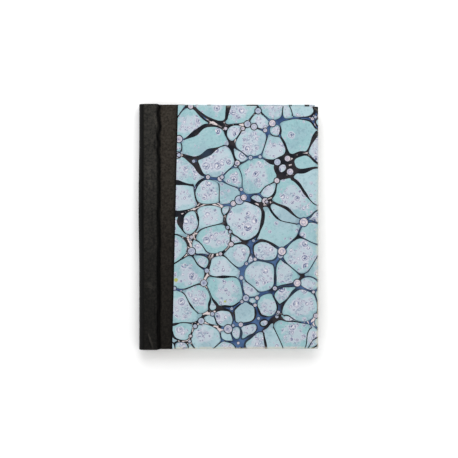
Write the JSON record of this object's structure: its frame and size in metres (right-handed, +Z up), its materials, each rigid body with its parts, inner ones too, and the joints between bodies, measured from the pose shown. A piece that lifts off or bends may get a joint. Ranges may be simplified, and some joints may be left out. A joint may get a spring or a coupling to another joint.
{
  "type": "composition notebook",
  "caption": "Hand-bound hardcover notebook, quarter-bound with a black cloth spine and stone-marbled paper sides, with hinged covers.",
  "frame": {"origin": "centre of the bounding box's bottom face, where the back cover lies on the table", "axes": "+X from the spine to the fore-edge, +Y from tail to head, +Z up through the front cover"},
  "size_m": [0.1592, 0.2184, 0.0188],
  "materials": {
    "leaves": "matt uncoated paper",
    "thread": "waxed linen thread",
    "mull": "open cotton gauze",
    "kraft_card": "brown kraft",
    "book_cloth": "black woven book cloth with a low sheen",
    "greyboard": "grey bookbinder's board",
    "endpaper": "matt uncoated paper",
    "marbled_paper": "matt marbled paper, pale aqua",
    "vein_colour": "matt dark blue-black colour"
  },
  "bodies": {
    "book_block": {"page_block": "leaves", "sewing_thread": "thread", "spine_mull": "mull", "spine_lining": "kraft_card", "spine_stiffener": "kraft_card", "spine_cloth": "book_cloth", "front_hinge_strip": "greyboard", "back_hinge_strip": "greyboard", "front_endpaper": "endpaper", "back_endpaper": "endpaper"},
    "front_cover": {"front_board": "greyboard", "front_joint_cloth": "book_cloth", "front_cover_paper": "marbled_paper", "front_marbling": "vein_colour", "front_pastedown": "endpaper"},
    "back_cover": {"back_board": "greyboard", "back_joint_cloth": "book_cloth", "back_cover_paper": "marbled_paper", "back_marbling": "vein_colour", "back_pastedown": "endpaper"}
  },
  "joints": [
    {"name": "front_cover_hinge", "type": "hinge", "parent": "book_block", "child": "front_cover", "pos_m": [-0.06173, 0, 0.0188], "axis": [0, -1, 0], "range_deg": [0, 180]},
    {"name": "back_cover_hinge", "type": "hinge", "parent": "book_block", "child": "back_cover", "pos_m": [-0.06173, 0, 0], "axis": [0, 1, 0], "range_deg": [0, 180]}
  ]
}
